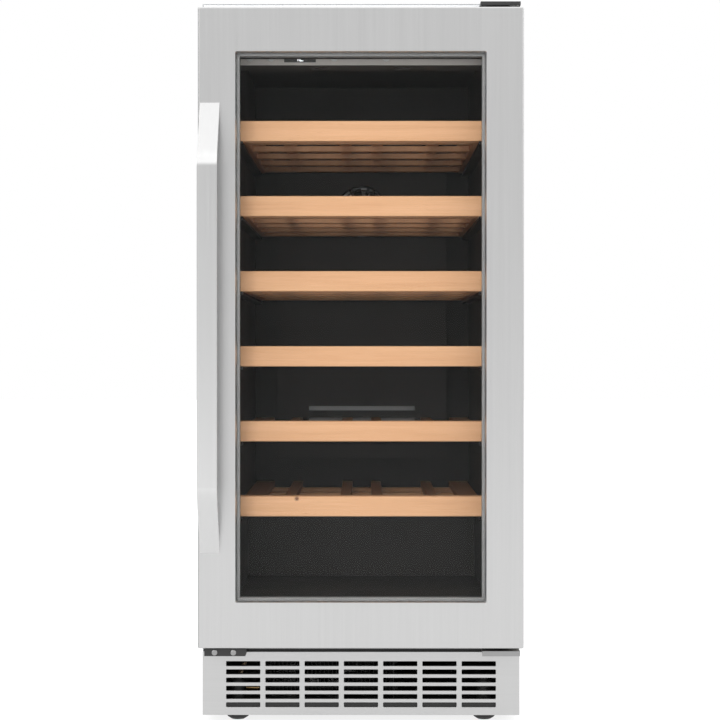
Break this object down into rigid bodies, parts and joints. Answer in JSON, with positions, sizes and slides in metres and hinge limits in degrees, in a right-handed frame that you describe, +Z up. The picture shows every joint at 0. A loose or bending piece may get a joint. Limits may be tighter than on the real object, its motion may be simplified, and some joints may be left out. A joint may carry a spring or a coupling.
{
  "type": "wine cooler",
  "caption": "Tall undercounter cooler with a framed glass door on a side hinge, wooden bottle racks, a bowed bar handle and a vented toe grille.",
  "frame": {"origin": "on the floor, under the middle of the whole cooler in width and depth", "axes": "+Z up, the door and the handle face -Y, +X towards the hinge side"},
  "size_m": [0.38, 0.6178, 0.855],
  "materials": {
    "stainless": "vertical brushed",
    "painted_sheet": "satin",
    "galvanised": "satin zinc",
    "dark_liner": "matte",
    "black_plastic": "matte",
    "grey_panel": "satin",
    "foam": "foamed",
    "beech": "oiled, fine grain",
    "glass": "clear, lightly tinted",
    "spacer": "matte",
    "gasket": "matte",
    "steel_hardware": "satin",
    "black_steel": "satin",
    "compressor_black": "semi-gloss",
    "rubber": "matte",
    "copper": "drawn tube",
    "aluminium": "mill",
    "ivory_plastic": "matte",
    "white_plastic": "satin",
    "display": "gloss",
    "circuit_board": "satin",
    "button_cap": "satin",
    "lens": "frosted"
  },
  "bodies": {
    "cabinet": {"cabinet_wrap": "painted_sheet", "back_panel": "galvanised", "foam_insulation": "foam", "inner_liner": "dark_liner", "machine_deck": "galvanised", "base_pan": "black_steel", "toe_grille": "stainless", "rear_grille": "galvanised", "top_hinge_bracket": "steel_hardware", "top_hinge_cover": "black_plastic", "bottom_hinge_bracket": "steel_hardware", "door_stop_block": "black_plastic", "cabinet_screws": "steel_hardware", "compressor": "compressor_black", "compressor_grommets": "rubber", "condenser_coil": "black_steel", "condenser_fan_frame": "black_plastic", "filter_drier": "copper", "refrigerant_tubes": "copper", "evaporator_plate": "aluminium", "evaporator_cover": "dark_liner", "evaporator_fan_frame": "black_plastic", "drip_tray": "white_plastic", "mains_inlet": "rubber", "control_panel": "grey_panel", "display_window": "display", "control_board": "circuit_board", "led_lens": "lens", "shelf_rails": "black_plastic"},
    "door": {"door_frame": "stainless", "door_inner_frame": "black_plastic", "outer_glass": "glass", "glass_spacer": "spacer", "inner_glass": "glass", "door_gasket": "gasket", "hinge_bushes": "ivory_plastic", "handle": "stainless", "handle_screws": "steel_hardware"},
    "condenser_rotor": {"condenser_fan_rotor": "black_plastic"},
    "evaporator_rotor": {"evaporator_fan_rotor": "black_plastic"},
    "foot_front_left": {"foot_front_left": "rubber"},
    "foot_front_right": {"foot_front_right": "rubber"},
    "foot_rear_left": {"foot_rear_left": "rubber"},
    "foot_rear_right": {"foot_rear_right": "rubber"},
    "button_power": {"button_power": "button_cap"},
    "button_light": {"button_light": "button_cap"},
    "button_up": {"button_up": "button_cap"},
    "button_down": {"button_down": "button_cap"},
    "shelf_1": {"shelf_front_1": "beech", "shelf_rack_1": "beech"},
    "shelf_2": {"shelf_front_2": "beech", "shelf_rack_2": "beech"},
    "shelf_3": {"shelf_front_3": "beech", "shelf_rack_3": "beech"},
    "shelf_4": {"shelf_front_4": "beech", "shelf_rack_4": "beech"},
    "shelf_5": {"shelf_front_5": "beech", "shelf_rack_5": "beech"},
    "shelf_6": {"shelf_front_6": "beech", "shelf_rack_6": "beech"}
  },
  "joints": [
    {"name": "door_hinge", "type": "hinge", "parent": "cabinet", "child": "door", "pos_m": [0.178, -0.2359, 0.095], "axis": [0, 0, 1], "range_deg": [0, 110]},
    {"name": "shelf_1_slide", "type": "slide", "parent": "cabinet", "child": "shelf_1", "axis": [0, -1, 0], "range_m": [0, 0.0735]},
    {"name": "shelf_2_slide", "type": "slide", "parent": "cabinet", "child": "shelf_2", "axis": [0, -1, 0], "range_m": [0, 0.0735]},
    {"name": "shelf_3_slide", "type": "slide", "parent": "cabinet", "child": "shelf_3", "axis": [0, -1, 0], "range_m": [0, 0.0735]},
    {"name": "shelf_4_slide", "type": "slide", "parent": "cabinet", "child": "shelf_4", "axis": [0, -1, 0], "range_m": [0, 0.0735]},
    {"name": "shelf_5_slide", "type": "slide", "parent": "cabinet", "child": "shelf_5", "axis": [0, -1, 0], "range_m": [0, 0.0735]},
    {"name": "shelf_6_slide", "type": "slide", "parent": "cabinet", "child": "shelf_6", "axis": [0, -1, 0], "range_m": [0, 0.0735]},
    {"name": "foot_front_left_screw", "type": "slide", "parent": "cabinet", "child": "foot_front_left", "axis": [0, 0, -1], "range_m": [0, 0.02]},
    {"name": "foot_front_right_screw", "type": "slide", "parent": "cabinet", "child": "foot_front_right", "axis": [0, 0, -1], "range_m": [0, 0.02]},
    {"name": "foot_rear_left_screw", "type": "slide", "parent": "cabinet", "child": "foot_rear_left", "axis": [0, 0, -1], "range_m": [0, 0.02]},
    {"name": "foot_rear_right_screw", "type": "slide", "parent": "cabinet", "child": "foot_rear_right", "axis": [0, 0, -1], "range_m": [0, 0.02]},
    {"name": "button_power_press", "type": "slide", "parent": "cabinet", "child": "button_power", "axis": [0, 1, 0], "range_m": [0, 0.0012], "stiffness_N_per_m": 800},
    {"name": "button_light_press", "type": "slide", "parent": "cabinet", "child": "button_light", "axis": [0, 1, 0], "range_m": [0, 0.0012], "stiffness_N_per_m": 800},
    {"name": "button_up_press", "type": "slide", "parent": "cabinet", "child": "button_up", "axis": [0, 1, 0], "range_m": [0, 0.0012], "stiffness_N_per_m": 800},
    {"name": "button_down_press", "type": "slide", "parent": "cabinet", "child": "button_down", "axis": [0, 1, 0], "range_m": [0, 0.0012], "stiffness_N_per_m": 800},
    {"name": "condenser_fan_spin", "type": "hinge", "parent": "cabinet", "child": "condenser_rotor", "pos_m": [-0.04, -0.1329, 0.0595], "axis": [0, 1, 0], "continuous": true},
    {"name": "evaporator_fan_spin", "type": "hinge", "parent": "cabinet", "child": "evaporator_rotor", "pos_m": [0, 0.2379, 0.64], "axis": [0, 1, 0], "continuous": true}
  ],
  "couplings": [
    {"joint": "shelf_1_slide", "follows": "door_hinge", "m_per_rad": 0.038},
    {"joint": "shelf_2_slide", "follows": "door_hinge", "m_per_rad": 0.038},
    {"joint": "shelf_3_slide", "follows": "door_hinge", "m_per_rad": 0.038},
    {"joint": "shelf_4_slide", "follows": "door_hinge", "m_per_rad": 0.038},
    {"joint": "shelf_5_slide", "follows": "door_hinge", "m_per_rad": 0.038},
    {"joint": "shelf_6_slide", "follows": "door_hinge", "m_per_rad": 0.038}
  ]
}
